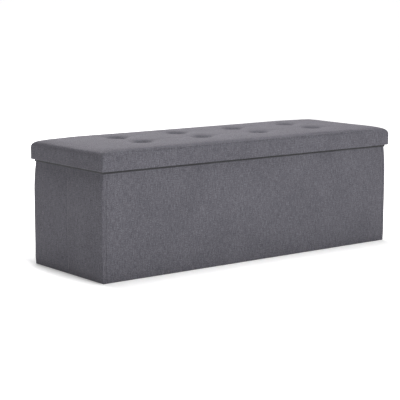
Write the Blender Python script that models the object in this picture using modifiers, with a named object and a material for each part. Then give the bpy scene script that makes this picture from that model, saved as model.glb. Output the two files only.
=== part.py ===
"""Folding upholstered storage bench: a fabric-covered board box with a padded lift-off lid.

Metres, +Z up. The origin is on the floor under the middle of the bench. X runs along the
length and -Y is the front. The lid lifts straight off the box, and the floor flap turns up
about its back edge until it leans on the back wall.
"""

import math

import bmesh
import bpy
from mathutils import Matrix, Vector

# Driving dimensions
LID_LENGTH = 1.110
LID_DEPTH = 0.380
TOTAL_HEIGHT = 0.365
BODY_LENGTH = 1.085
BODY_DEPTH = 0.360
BODY_HEIGHT = 0.335
LID_OVERLAP = 0.021  # how far the lid's skirt reaches below the top of the box

# Sheet and board thicknesses
FABRIC = 0.0012
LINING = 0.0010
WALL_BOARD = 0.009
LID_BOARD = 0.009
RAIL = 0.005
FLOOR_BOARD = 0.005
SLEEVE = 0.0008
GAP = 0.0003  # between pieces that touch

# Box walls
WALL = FABRIC + GAP + WALL_BOARD + GAP + FABRIC
CREASE = 0.004  # space between the two boards of an end wall, where it folds
FACING = 0.028  # outer fabric turned down inside the top edge
SEAM_SPACE = 0.002

# Floor flap and its hinge line
FLAP_AXIS_Y = BODY_DEPTH / 2 - 0.014
FLAP_BACK_SPACE = 0.001
FLAP_FRONT_SPACE = 0.009
FLAP_END_SPACE = 0.005
FLAP_THICKNESS = 2 * SLEEVE + 2 * GAP + FLOOR_BOARD
FLAP_AXIS_Z = GAP + FLAP_THICKNESS
HINGE_STRIP_LENGTH = 1.040
HINGE_STRIP_HEIGHT = 0.032
PULL_TAB_WIDTH = 0.025
PULL_TAB_LENGTH = 0.045
PULL_TAB_THICKNESS = 0.0018
PULL_TAB_INSET = 0.002

# Lid
LID_BOTTOM = BODY_HEIGHT - LID_OVERLAP
LID_BOARD_BOTTOM = BODY_HEIGHT + GAP + LINING + GAP
FOAM_BOTTOM = LID_BOARD_BOTTOM + LID_BOARD + GAP
RAIL_INSET = FABRIC + GAP  # from the lid's outside to a rail's outer face
HEM_INSET = RAIL_INSET + RAIL + GAP + FABRIC  # from the lid's outside to the hem's inner face
HEM_HEIGHT = 0.019
TOP_RADIUS = 0.020
CORNER_RADIUS = 0.0018  # cloth bent round the rails' upright corners
TOP_EDGE_SEGMENTS = 5

# Tufts, and the brads that hold the skirt rails
TUFT_COLUMNS = 4
TUFT_ROWS = 2
TUFT_PITCH_X = 0.222
TUFT_PITCH_Y = 0.127
TUFT_RADIUS = 0.034
TUFT_DEPTH = 0.013
TUFT_SEAT_RADIUS = 0.011
TUFT_SEAT_Z = TOTAL_HEIGHT - TUFT_DEPTH
BUTTON_RADIUS = 0.009
BUTTON_RIM = 0.001
BUTTON_DOME = 0.0022
DOME_STEPS = 4
CORD_RADIUS = 0.0008
CORD_HOLE_RADIUS = 0.0015
WASHER_RADIUS = 0.010
WASHER_THICKNESS = 0.0012
BRAD_RADIUS = 0.0008
BRAD_LENGTH = 0.022
BRADS_PER_LONG_RAIL = 3
BRADS_PER_END_RAIL = 2
BRAD_END_SPACE = 0.045  # from the lid's corner to its first brad
ROUND_SIDES = 20
SMALL_SIDES = 8
SHARP_ANGLE = math.radians(30)
CUTTER_REACH = 0.01  # how far cutters run past the faces that they cut

UP = Vector((0, 0, 1))
FRONT, BACK = -1, 1
LEFT, RIGHT = -1, 1
SIDE_NAMES = {FRONT: "front", BACK: "back"}
END_NAMES = {LEFT: "left", RIGHT: "right"}

COLOURS = {  # linear colour, roughness, metallic
    "grey_fabric": ((0.130, 0.127, 0.149), 0.92, 0.0),
    "black_lining": ((0.030, 0.030, 0.033), 0.95, 0.0),
    "fibreboard": ((0.420, 0.290, 0.175), 0.80, 0.0),
    "seat_foam": ((0.780, 0.740, 0.620), 0.95, 0.0),
    "black_ribbon": ((0.020, 0.020, 0.022), 0.70, 0.0),
    "tuft_cord": ((0.550, 0.540, 0.520), 0.85, 0.0),
    "washer_plastic": ((0.720, 0.720, 0.700), 0.45, 0.0),
    "steel_brad": ((0.560, 0.570, 0.580), 0.35, 1.0),
}


def clear_scene():
    for thing in list(bpy.data.objects):
        bpy.data.objects.remove(thing, do_unlink=True)


def make_collection(name):
    collection = bpy.data.collections.new(name)
    bpy.context.scene.collection.children.link(collection)
    return collection


def make_materials():
    made = {}
    for name, (colour, roughness, metallic) in COLOURS.items():
        material = bpy.data.materials.new(name)
        material.use_nodes = True
        shader = material.node_tree.nodes["Principled BSDF"]
        shader.inputs["Base Color"].default_value = (*colour, 1.0)
        shader.inputs["Roughness"].default_value = roughness
        shader.inputs["Metallic"].default_value = metallic
        material.diffuse_color = (*colour, 1.0)
        made[name] = material
    return made


def make_pivot(name, location):
    """Empty at a moving body's joint, which that body's pieces are parented to."""
    pivot = bpy.data.objects.new(name, None)
    pivot.location = location
    pivot.empty_display_size = 0.05
    PARTS.objects.link(pivot)
    bpy.context.view_layer.update()
    return pivot


def place(mesh, name, location=(0, 0, 0), material=None):
    """A piece of the bench, or a cutter when it has no material."""
    thing = bpy.data.objects.new(name, mesh)
    thing.location = location
    if material:
        if not mesh.materials:
            mesh.materials.append(MATERIALS[material])
        PARTS.objects.link(thing)
    else:
        CUTTERS.objects.link(thing)
        thing.hide_render = True
        thing.display_type = "WIRE"
    return thing


def mesh_from(shape, name):
    mesh = bpy.data.meshes.new(name)
    shape.to_mesh(mesh)
    shape.free()
    return mesh


def box(name, low, high, material=None):
    """A plain box between two opposite corners, with its origin at its centre."""
    size = [h - l for l, h in zip(low, high)]
    centre = [(l + h) / 2 for l, h in zip(low, high)]
    shape = bmesh.new()
    bmesh.ops.create_cube(shape, size=1.0)
    bmesh.ops.scale(shape, vec=size, verts=shape.verts)
    return place(mesh_from(shape, name), name, centre, material)


def wall_box(name, axis, side, outer, thick, along, levels, material=None):
    """An upright sheet facing along X or Y, from its outer face inwards on the given side."""
    across = sorted((side * outer, side * (outer - thick)))
    if axis == "X":
        low = (across[0], along[0], levels[0])
        high = (across[1], along[1], levels[1])
    else:
        low = (along[0], across[0], levels[0])
        high = (along[1], across[1], levels[1])
    return box(name, low, high, material)


def add_rod(shape, radius, length, matrix, sides, top_radius):
    bmesh.ops.create_cone(
        shape, cap_ends=True, segments=sides, radius1=radius, radius2=top_radius, depth=length, matrix=matrix
    )


def rod_mesh(name, radius, length):
    shape = bmesh.new()
    add_rod(shape, radius, length, Matrix(), SMALL_SIDES, radius)
    return mesh_from(shape, name)


def rod_cutters(name, radius, length, places, sides=SMALL_SIDES, top_radius=None):
    """Equal drills, or cones, in one cutter. Each place is a centre and the axis's direction."""
    shape = bmesh.new()
    for centre, direction in places:
        matrix = Matrix.Translation(centre) @ turned_to(direction).to_matrix().to_4x4()
        add_rod(shape, radius, length, matrix, sides, radius if top_radius is None else top_radius)
    return place(mesh_from(shape, name), name)


def turned_to(direction):
    return UP.rotation_difference(direction)


def copies(name, mesh, places, material):
    """One object for each place, numbered from 1, all sharing one mesh."""
    made = []
    for number, (centre, direction) in enumerate(places, 1):
        thing = place(mesh, f"{name}_{number}", centre, material)
        thing.rotation_euler = turned_to(direction).to_euler()
        made.append(thing)
    return made


def boolean(target, operation, others):
    for other in others:
        step = target.modifiers.new(f"{operation.lower()}_{other.name}", "BOOLEAN")
        step.operation = operation
        step.object = other
        step.solver = "EXACT"
    return target


def cut(target, *cutters):
    return boolean(target, "DIFFERENCE", cutters)


def join(target, *pieces):
    return boolean(target, "UNION", pieces)


def extruded(name, outline, length, location, turn, material=None):
    """A flat closed outline given thickness, and made a mesh so that it can be cut or joined."""
    curve = bpy.data.curves.new(name, "CURVE")
    curve.dimensions = "2D"
    curve.fill_mode = "BOTH"
    curve.extrude = length / 2
    spline = curve.splines.new("POLY")
    spline.points.add(len(outline) - 1)
    for point, (across, up) in zip(spline.points, outline):
        point.co = (across, up, 0, 1)
    spline.use_cyclic_u = True
    guide = place(curve, f"{name}_outline", location)
    guide.rotation_euler = turn
    thing = place(evaluated_mesh(guide, name), name, (0, 0, 0), material)
    thing.matrix_world = guide.matrix_world.copy()
    bpy.data.objects.remove(guide, do_unlink=True)
    return thing


def evaluated_mesh(guide, name):
    """A guide's mesh with its modifiers and curve settings applied, welded closed."""
    bpy.context.view_layer.update()
    graph = bpy.context.evaluated_depsgraph_get()
    mesh = bpy.data.meshes.new_from_object(guide.evaluated_get(graph))
    mesh.name = name
    shape = bmesh.new()
    shape.from_mesh(mesh)
    bmesh.ops.remove_doubles(shape, verts=shape.verts, dist=1e-6)
    bmesh.ops.recalc_face_normals(shape, faces=shape.faces)
    shape.to_mesh(mesh)
    shape.free()
    return mesh


def turned_mesh(name, profile):
    """A profile of (radius, height) points, listed down its outer side, turned about +Z."""
    line = bpy.data.meshes.new(f"{name}_profile")
    edges = [(i, i + 1) for i in range(len(profile) - 1)]
    line.from_pydata([(radius, 0, height) for radius, height in profile], edges, [])
    guide = place(line, f"{name}_guide")
    screw = guide.modifiers.new("turn", "SCREW")
    screw.axis = "Z"
    screw.steps = ROUND_SIDES
    screw.render_steps = ROUND_SIDES
    screw.use_merge_vertices = True
    screw.merge_threshold = 0.0001
    mesh = evaluated_mesh(guide, name)
    bpy.data.objects.remove(guide, do_unlink=True)
    mesh.shade_smooth()
    mesh.set_sharp_from_angle(angle=SHARP_ANGLE)
    return mesh


def padded_block(name, inset, bottom, top, material=None):
    """The lid's form: a block with crisp upright corners and a well rounded top edge."""
    size = (LID_LENGTH - 2 * inset, LID_DEPTH - 2 * inset, top - bottom)
    shape = bmesh.new()
    bmesh.ops.create_cube(shape, size=1.0)
    bmesh.ops.scale(shape, vec=size, verts=shape.verts)
    weights = shape.edges.layers.float.new("bevel_weight_edge")
    for edge in shape.edges:
        heights = [vert.co.z for vert in edge.verts]
        if min(heights) > 0:
            edge[weights] = 1.0
        elif max(heights) > 0:
            edge[weights] = max(CORNER_RADIUS - inset, 0) / (TOP_RADIUS - inset)
    block = place(mesh_from(shape, name), name, (0, 0, (bottom + top) / 2), material)
    bevel = block.modifiers.new("rounded_edges", "BEVEL")
    bevel.limit_method = "WEIGHT"
    bevel.width = TOP_RADIUS - inset
    bevel.segments = TOP_EDGE_SEGMENTS
    block.data.shade_smooth()
    block.data.set_sharp_from_angle(angle=SHARP_ANGLE)
    return block


def end_board_name(end, side):
    return f"{END_NAMES[end]}_end_{SIDE_NAMES[side]}_board"


def wall_boards():
    """Front and back boards, and the two boards of each end wall beside its fold crease."""
    levels = (FABRIC + GAP, BODY_HEIGHT - FABRIC - GAP)
    outer_x = BODY_LENGTH / 2 - FABRIC - GAP
    outer_y = BODY_DEPTH / 2 - FABRIC - GAP
    half = outer_x - WALL_BOARD - SEAM_SPACE
    for side in (FRONT, BACK):
        name = f"{SIDE_NAMES[side]}_board"
        wall_box(name, "Y", side, outer_y, WALL_BOARD, (-half, half), levels, "fibreboard")
        for end in (LEFT, RIGHT):
            along = sorted((side * CREASE / 2, side * outer_y))
            name = end_board_name(end, side)
            wall_box(name, "X", end, outer_x, WALL_BOARD, along, levels, "fibreboard")


def channel_outline(facing):
    """Section of a wall's outer fabric: a return under the board, up the outer face, over the
    top edge and down inside as the facing."""
    under = WALL - FABRIC - GAP
    top = BODY_HEIGHT - FABRIC
    outline = [(0, 0), (under, 0), (under, FABRIC), (FABRIC, FABRIC), (FABRIC, top)]
    if facing:
        outline += [(WALL - FABRIC, top), (WALL - FABRIC, BODY_HEIGHT - FACING), (WALL, BODY_HEIGHT - FACING)]
    else:
        outline += [(WALL, top)]
    return outline + [(WALL, BODY_HEIGHT), (0, BODY_HEIGHT)]


def long_wall_cover(side):
    """Outer fabric of the front or back wall, between the corner seams."""
    length = BODY_LENGTH - 2 * (WALL + GAP)
    turn = (math.pi / 2, 0, -side * math.pi / 2)
    place_at = (0, side * BODY_DEPTH / 2, 0)
    extruded(f"{SIDE_NAMES[side]}_cover", channel_outline(True), length, place_at, turn, "grey_fabric")


def end_wall_cover(end):
    """Outer fabric of an end wall, which turns the corners onto the front and back faces."""
    name = f"{END_NAMES[end]}_end_cover"
    turn = (math.pi / 2, 0, 0 if end == LEFT else math.pi)
    outer = BODY_LENGTH / 2
    cover = extruded(name, channel_outline(False), BODY_DEPTH, (end * outer, 0, 0), turn, "grey_fabric")
    reach = BODY_DEPTH / 2 - WALL - GAP
    facing = wall_box(
        f"{name}_facing", "X", end, outer - WALL + FABRIC, FABRIC, (-reach, reach),
        (BODY_HEIGHT - FACING, BODY_HEIGHT - FABRIC / 2),
    )
    corners = [
        wall_box(
            f"{name}_{SIDE_NAMES[side]}_corner", "Y", side, BODY_DEPTH / 2, FABRIC,
            sorted((end * outer, end * (outer - WALL))), (0, BODY_HEIGHT),
        )
        for side in (FRONT, BACK)
    ]
    join(cover, facing, *corners)


def wall_linings():
    """Black lining of the four walls, which stops below the facing."""
    levels = (FABRIC + GAP, BODY_HEIGHT - FACING - GAP)
    half_x = BODY_LENGTH / 2 - WALL - GAP
    half_y = BODY_DEPTH / 2 - WALL - GAP
    for side in (FRONT, BACK):
        name = f"{SIDE_NAMES[side]}_lining"
        outer = BODY_DEPTH / 2 - WALL + FABRIC
        wall_box(name, "Y", side, outer, LINING, (-half_x, half_x), levels, "black_lining")
    for end in (LEFT, RIGHT):
        name = f"{END_NAMES[end]}_end_lining"
        outer = BODY_LENGTH / 2 - WALL + FABRIC
        wall_box(name, "X", end, outer, LINING, (-half_y, half_y), levels, "black_lining")


def flap_hinge_strip():
    """Cloth strip on the back lining just above the flap, which holds the flap's back edge."""
    outer = BODY_DEPTH / 2 - WALL + FABRIC - LINING - GAP
    bottom = FLAP_AXIS_Z + 2 * GAP
    along = (-HINGE_STRIP_LENGTH / 2, HINGE_STRIP_LENGTH / 2)
    levels = (bottom, bottom + HINGE_STRIP_HEIGHT)
    wall_box("flap_hinge_strip", "Y", BACK, outer, LINING, along, levels, "black_lining")


def floor_flap():
    """Floor board in a cloth sleeve, with a ribbon tab to pull it up by."""
    half = BODY_LENGTH / 2 - WALL - FLAP_END_SPACE
    front = -(BODY_DEPTH / 2 - WALL - FLAP_FRONT_SPACE)
    back = FLAP_AXIS_Y - FLAP_BACK_SPACE
    inset = SLEEVE + GAP
    board_bottom = GAP + inset
    board = box(
        "floor_board", (-half + inset, front + inset, board_bottom),
        (half - inset, back, board_bottom + FLOOR_BOARD), "fibreboard",
    )
    depth = back - front
    upper = FLAP_THICKNESS - SLEEVE
    sleeve_outline = [
        (0, 0), (depth, 0), (depth, SLEEVE), (SLEEVE, SLEEVE), (SLEEVE, upper), (depth, upper),
        (depth, FLAP_THICKNESS), (0, FLAP_THICKNESS),
    ]
    turn = (math.pi / 2, 0, math.pi / 2)
    sleeve = extruded("floor_sleeve", sleeve_outline, 2 * half, (0, front, GAP), turn, "black_lining")
    tab_front = front + PULL_TAB_INSET
    tab_bottom = FLAP_AXIS_Z + GAP
    tab = box(
        "floor_pull_tab", (-PULL_TAB_WIDTH / 2, tab_front, tab_bottom),
        (PULL_TAB_WIDTH / 2, tab_front + PULL_TAB_LENGTH, tab_bottom + PULL_TAB_THICKNESS), "black_ribbon",
    )
    return [board, sleeve, tab]


def tuft_places(height):
    """The tufts' places on the seat, each pointing up."""
    places = []
    for row in range(TUFT_ROWS):
        for column in range(TUFT_COLUMNS):
            x = (column - (TUFT_COLUMNS - 1) / 2) * TUFT_PITCH_X
            y = (row - (TUFT_ROWS - 1) / 2) * TUFT_PITCH_Y
            places.append((Vector((x, y, height)), UP))
    return places


def tuft_hollows(name, offset):
    """Cutters for the tufted hollows, lower and wider by offset than those in the seat's face."""
    slope = (TUFT_RADIUS - TUFT_SEAT_RADIUS) / TUFT_DEPTH
    bottom = TUFT_SEAT_Z - offset
    height = TUFT_DEPTH + offset + CUTTER_REACH
    low_radius = TUFT_SEAT_RADIUS + offset
    places = tuft_places(bottom + height / 2)
    return rod_cutters(name, low_radius, height, places, ROUND_SIDES, low_radius + slope * height)


def cord_holes(name):
    """Cutters for the holes that the tufts' cords pass through."""
    return rod_cutters(name, CORD_HOLE_RADIUS, 2 * LID_DEPTH, tuft_places(0))


def seat_cover():
    """Fabric over the cushion, down the skirt, under the rails and up inside as a hem."""
    hem_top = LID_BOTTOM + HEM_HEIGHT
    inside = padded_block("cover_inside", FABRIC, LID_BOTTOM + FABRIC, TOTAL_HEIGHT - FABRIC)
    hem_core = lid_box("hem_core", HEM_INSET - FABRIC, LID_BOTTOM, hem_top)
    cut(inside, tuft_hollows("hollows_inside", FABRIC), hem_core)
    opening = lid_box("hem_opening", HEM_INSET, LID_BOTTOM - CUTTER_REACH, hem_top + CUTTER_REACH)
    cover = padded_block("seat_cover", 0, LID_BOTTOM, TOTAL_HEIGHT, "grey_fabric")
    return cut(cover, tuft_hollows("hollows_outside", 0), inside, opening, cord_holes("cover_cord_holes"))


def lid_box(name, inset, bottom, top, material=None):
    """A box set in by the same distance from all four sides of the lid."""
    half_x = LID_LENGTH / 2 - inset
    half_y = LID_DEPTH / 2 - inset
    return box(name, (-half_x, -half_y, bottom), (half_x, half_y, top), material)


def seat_foam():
    inset = FABRIC + GAP
    foam = padded_block("seat_foam", inset, LID_BOTTOM, TOTAL_HEIGHT - inset, "seat_foam")
    below = lid_box("below_foam", -CUTTER_REACH, LID_BOTTOM - CUTTER_REACH, FOAM_BOTTOM)
    return cut(foam, below, tuft_hollows("hollows_foam", inset), cord_holes("foam_cord_holes"))


def brad_places():
    """Centres and directions of the brads that hold the rails to the lid board's edges."""
    height = LID_BOARD_BOTTOM + LID_BOARD / 2
    reach_x = LID_LENGTH / 2 - RAIL_INSET - BRAD_LENGTH / 2
    reach_y = LID_DEPTH / 2 - RAIL_INSET - BRAD_LENGTH / 2
    places = []
    for side in (FRONT, BACK):
        for x in spread(BRADS_PER_LONG_RAIL, LID_LENGTH - 2 * BRAD_END_SPACE):
            places.append((Vector((x, side * reach_y, height)), Vector((0, side, 0))))
    for end in (LEFT, RIGHT):
        for y in spread(BRADS_PER_END_RAIL, LID_DEPTH - 2 * BRAD_END_SPACE):
            places.append((Vector((end * reach_x, y, height)), Vector((end, 0, 0))))
    return places


def spread(count, length):
    """Evenly spaced positions centred on zero."""
    return [(i / (count - 1) - 0.5) * length for i in range(count)]


def lid_frame():
    """Lid board, its four skirt rails, and the lining under the board."""
    board_top = LID_BOARD_BOTTOM + LID_BOARD
    board_inset = RAIL_INSET + RAIL + GAP
    brad_holes = rod_cutters("brad_holes", BRAD_RADIUS + GAP, BRAD_LENGTH + 2 * GAP, brad_places())
    recess_places = tuft_places(LID_BOARD_BOTTOM + WASHER_THICKNESS + 2 * GAP - CUTTER_REACH)
    recesses = rod_cutters(
        "washer_recesses", WASHER_RADIUS + GAP, 2 * CUTTER_REACH, recess_places, ROUND_SIDES
    )
    board = lid_box("lid_board", board_inset, LID_BOARD_BOTTOM, board_top, "fibreboard")
    cut(board, recesses, cord_holes("board_cord_holes"), brad_holes)
    lining_bottom = BODY_HEIGHT + GAP
    lining = lid_box("lid_lining", board_inset, lining_bottom, lining_bottom + LINING, "black_lining")

    pieces = [board, lining]
    levels = (LID_BOTTOM + FABRIC + GAP, board_top)
    half_x = LID_LENGTH / 2 - RAIL_INSET
    half_y = LID_DEPTH / 2 - board_inset
    for side in (FRONT, BACK):
        name = f"lid_{SIDE_NAMES[side]}_rail"
        outer = LID_DEPTH / 2 - RAIL_INSET
        pieces.append(wall_box(name, "Y", side, outer, RAIL, (-half_x, half_x), levels, "fibreboard"))
    for end in (LEFT, RIGHT):
        name = f"lid_{END_NAMES[end]}_rail"
        pieces.append(wall_box(name, "X", end, half_x, RAIL, (-half_y, half_y), levels, "fibreboard"))
    for rail in pieces[2:]:
        cut(rail, brad_holes)
    brad = rod_mesh("rail_brad", BRAD_RADIUS, BRAD_LENGTH)
    return pieces + copies("rail_brad", brad, brad_places(), "steel_brad")


def tuft_fittings():
    """Covered buttons in the hollows, tied through the foam and the board to washers below."""
    dome = []
    for i in range(DOME_STEPS + 1):
        angle = math.pi / 2 * i / DOME_STEPS
        dome.append((BUTTON_RADIUS * math.sin(angle), BUTTON_RIM + BUTTON_DOME * math.cos(angle)))
    button = turned_mesh("tuft_button", [*dome, (BUTTON_RADIUS, 0), (0, 0)])
    pieces = copies("tuft_button", button, tuft_places(TUFT_SEAT_Z + GAP), "grey_fabric")

    cord_bottom = LID_BOARD_BOTTOM + GAP
    cord = rod_mesh("tuft_cord", CORD_RADIUS, TUFT_SEAT_Z - cord_bottom)
    pieces += copies("tuft_cord", cord, tuft_places((cord_bottom + TUFT_SEAT_Z) / 2), "tuft_cord")

    rim = (WASHER_RADIUS, WASHER_THICKNESS)
    ring = [rim, (WASHER_RADIUS, 0), (CORD_HOLE_RADIUS, 0), (CORD_HOLE_RADIUS, WASHER_THICKNESS), rim]
    washer = turned_mesh("tuft_washer", ring)
    return pieces + copies("tuft_washer", washer, tuft_places(cord_bottom), "washer_plastic")


def build():
    wall_boards()
    for side in (FRONT, BACK):
        long_wall_cover(side)
    for end in (LEFT, RIGHT):
        end_wall_cover(end)
    wall_linings()
    flap_hinge_strip()
    attach(make_pivot("floor_flap_pivot", (0, FLAP_AXIS_Y, FLAP_AXIS_Z)), floor_flap())
    lid = [*lid_frame(), seat_foam(), seat_cover(), *tuft_fittings()]
    attach(make_pivot("lid_pivot", (0, 0, BODY_HEIGHT)), lid)


def attach(pivot, pieces):
    for piece in pieces:
        piece.parent = pivot
        piece.matrix_parent_inverse = pivot.matrix_world.inverted()


clear_scene()
PARTS = make_collection("storage_bench")
CUTTERS = make_collection("cutters")
MATERIALS = make_materials()
build()
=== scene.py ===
"""Looks of the folding storage bench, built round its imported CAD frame.

Cloth pieces are made here as grids of points, in metres and in the frame's own axes: X runs
along the bench, -Y is the front and +Z is up. Outer cloth keeps clear of the boards that it
covers, so its bulges and waves go outwards.
"""

import math
from itertools import combinations

import bmesh
import bpy
import numpy as np
from mathutils import Matrix, Vector, noise


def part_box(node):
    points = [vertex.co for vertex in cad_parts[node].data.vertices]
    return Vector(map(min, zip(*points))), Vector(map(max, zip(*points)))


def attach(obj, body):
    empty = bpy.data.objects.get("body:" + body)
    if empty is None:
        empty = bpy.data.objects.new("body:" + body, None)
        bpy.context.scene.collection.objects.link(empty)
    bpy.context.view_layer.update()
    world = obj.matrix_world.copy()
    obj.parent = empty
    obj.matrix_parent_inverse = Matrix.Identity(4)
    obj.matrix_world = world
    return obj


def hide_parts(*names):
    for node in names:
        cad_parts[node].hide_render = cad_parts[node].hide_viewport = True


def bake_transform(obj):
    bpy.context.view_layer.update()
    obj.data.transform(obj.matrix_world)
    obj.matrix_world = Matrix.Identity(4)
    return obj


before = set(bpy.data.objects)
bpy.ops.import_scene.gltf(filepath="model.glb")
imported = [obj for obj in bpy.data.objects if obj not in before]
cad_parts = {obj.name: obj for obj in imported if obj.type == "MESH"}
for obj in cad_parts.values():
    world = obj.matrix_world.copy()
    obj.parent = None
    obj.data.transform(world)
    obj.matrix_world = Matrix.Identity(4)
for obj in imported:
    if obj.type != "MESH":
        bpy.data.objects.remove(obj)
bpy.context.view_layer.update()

MM = 0.001
CLOTH = 1.1 * MM  # thickness of the outer fabric
RIBBON_THICK = 0.6 * MM  # of the pull loop, and of the flap's hinge cloth
LINING_STEP = 12 * MM  # between the points of black cloth
LONG_WALL_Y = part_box("back_cover")[1].y
END_WALL_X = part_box("right_end_cover")[1].x
LONG_COVER_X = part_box("front_cover")[1].x
WALL_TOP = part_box("front_cover")[1].z
LID_LOW, LID_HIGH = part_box("seat_cover")
TUFTS = [sum(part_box(f"tuft_button_{i}"), Vector()) / 2 for i in range(1, 9)]
BUTTON_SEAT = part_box("tuft_button_1")[0].z


# ---- materials

YARN_PITCH = 0.9  # millimetres
FABRIC_SHADES = ((0.061, 0.0595, 0.0705), (0.0965, 0.094, 0.110), (0.145, 0.141, 0.162))


class Nodes:
    """Short ways to add and wire the shader nodes of one material."""

    def __init__(self, name):
        self.material = bpy.data.materials.new(name)
        self.material.use_nodes = True
        self.tree = self.material.node_tree
        self.shader = self.tree.nodes["Principled BSDF"]

    def add(self, kind, **settings):
        node = self.tree.nodes.new(f"ShaderNode{kind}")
        for key, value in settings.items():
            setattr(node, key, value)
        return node

    def set(self, socket, value):
        if isinstance(value, bpy.types.NodeSocket):
            self.tree.links.new(value, socket)
        else:
            socket.default_value = value

    def fill(self, node, **inputs):
        """Sets a node's inputs, whose names are given with _ for a space."""
        for name, value in inputs.items():
            self.set(node.inputs[name.replace("_", " ")], value)

    def result(self, output, kind, **inputs):
        """An output of a new node with these inputs."""
        node = self.add(kind)
        self.fill(node, **inputs)
        return node.outputs[output]

    def math(self, operation, *values):
        node = self.add("Math", operation=operation)
        for socket, value in zip(node.inputs, values):
            self.set(socket, value)
        return node.outputs[0]

    def total(self, *values):
        result = values[0]
        for value in values[1:]:
            result = self.math("ADD", result, value)
        return result

    def weighted(self, *terms):
        """The sum of (value, weight) terms."""
        return self.total(*(self.math("MULTIPLY", value, weight) for value, weight in terms))

    def wave(self, value, period):
        return self.math("SINE", self.math("MULTIPLY", value, 2 * math.pi / period))

    def place(self):
        return self.add("TexCoord").outputs["Object"]

    def split(self, vector):
        node = self.add("SeparateXYZ")
        self.set(node.inputs[0], vector)
        return node.outputs

    def noise(self, vector, scale=1.0, detail=2.0, roughness=0.5):
        return self.result("Fac", "TexNoise", Vector=vector, Scale=scale, Detail=detail, Roughness=roughness)

    def streaks(self, u, v, width, length, seed, detail=2.0):
        """Noise stretched to about width by length millimetres along the surface."""
        across = self.math("DIVIDE", u, width)
        along = self.math("DIVIDE", v, length)
        return self.noise(self.result("Vector", "CombineXYZ", X=across, Y=along, Z=seed), detail=detail)

    def ramp(self, value, *stops):
        """Colour ramp through (position, linear colour) stops."""
        node = self.add("ValToRGB")
        elements = node.color_ramp.elements
        while len(elements) < len(stops):
            elements.new(0.5)
        for element, (position, colour) in zip(elements, stops):
            element.position = position
            element.color = (*colour, 1.0)
        self.set(node.inputs[0], value)
        return node.outputs["Color"]

    def spread(self, value, low, high, reach=1.0):
        """A value from 0 to its reach, mapped onto low to high."""
        return self.result("Result", "MapRange", Value=value, From_Max=reach, To_Min=low, To_Max=high)

    def bump(self, height, distance, strength=1.0):
        return self.result("Normal", "Bump", Height=height, Distance=distance, Strength=strength)

    def choose(self, pick, if_not, if_so):
        return self.result("Result", "Mix", Factor=pick, A=if_not, B=if_so)

    def surface_axes(self):
        """Millimetres across the surface, and up it, or back along it where it lies flat."""
        coordinates = self.add("TexCoord")
        x, y, z = self.split(coordinates.outputs["Object"])
        facing_x, _, facing_z = self.split(coordinates.outputs["Normal"])
        on_end = self.math("GREATER_THAN", self.math("ABSOLUTE", facing_x), 0.7)
        on_top = self.math("GREATER_THAN", self.math("ABSOLUTE", facing_z), 0.7)
        across = self.choose(on_end, x, y)
        along = self.choose(on_top, z, y)
        return self.math("MULTIPLY", across, 1000.0), self.math("MULTIPLY", along, 1000.0)

    def finish(self, colour, roughness, normal, **uniform):
        self.fill(self.shader, Base_Color=colour, Roughness=roughness, Normal=normal, **uniform)
        return self.material


def woven_fabric():
    """Dark grey linen weave: crossing yarns of uneven thickness, with long slubs up the walls."""
    n = Nodes("grey_linen_weave")
    u, v = n.surface_axes()
    warp = n.streaks(u, v, 2.6, 17.0, 0.0, 3.0)
    broad_warp = n.streaks(u, v, 6.0, 40.0, 11.0)
    weft = n.streaks(u, v, 15.0, 2.4, 7.0, 3.0)
    fleck = n.streaks(u, v, 2.7, 3.0, 3.0, 3.0)
    cloud = n.streaks(u, v, 90.0, 120.0, 5.0)
    shade = n.weighted((warp, 0.26), (broad_warp, 0.08), (weft, 0.18), (fleck, 0.41), (cloud, 0.07))
    dark, middle, light = FABRIC_SHADES
    colour = n.ramp(shade, (0.41, dark), (0.50, middle), (0.59, light))
    weave = n.math("MULTIPLY", n.wave(u, 2 * YARN_PITCH), n.wave(v, 2 * YARN_PITCH))
    relief = n.weighted((weave, 0.22), (warp, 0.9), (weft, 0.5))
    return n.finish(
        colour,
        n.spread(fleck, 0.80, 0.98),
        n.bump(relief, 0.35 * MM, 0.7),
        Specular_IOR_Level=0.25,
        Sheen_Weight=0.22,
        Sheen_Roughness=0.40,
        Sheen_Tint=(0.92, 0.85, 0.95, 1.0),
    )


def lining_fabric():
    """Black spun-bonded lining, embossed with a close grid of small dots."""
    n = Nodes("black_spunbond")
    u, v = n.surface_axes()
    rising = n.math("ADD", u, v)
    falling = n.math("SUBTRACT", u, v)
    dots = n.math("MULTIPLY", n.wave(rising, 3.4), n.wave(falling, 3.4))
    fibres = n.streaks(u, v, 1.4, 1.4, 0.0, 5.0)
    cloud = n.streaks(u, v, 60.0, 60.0, 4.0, 3.0)
    shade = n.weighted((fibres, 0.6), (cloud, 0.4))
    colour = n.ramp(shade, (0.3, (0.013, 0.013, 0.015)), (0.7, (0.038, 0.038, 0.042)))
    relief = n.total(n.math("MULTIPLY", dots, 0.5), fibres)
    normal = n.bump(relief, 0.25 * MM, 0.6)
    return n.finish(colour, n.spread(fibres, 0.60, 0.86), normal, Specular_IOR_Level=0.35)


def fibreboard():
    """Brown fibreboard, finely speckled."""
    n = Nodes("fibreboard_brown")
    fibres = n.noise(n.place(), 900.0, 4.0, 0.65)
    patches = n.noise(n.place(), 26.0, 3.0)
    shade = n.weighted((fibres, 0.7), (patches, 0.3))
    stops = (0.32, (0.225, 0.140, 0.078)), (0.5, (0.330, 0.215, 0.125)), (0.68, (0.440, 0.305, 0.190))
    return n.finish(n.ramp(shade, *stops), n.spread(fibres, 0.72, 0.92), n.bump(fibres, 0.2 * MM, 0.5))


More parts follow.
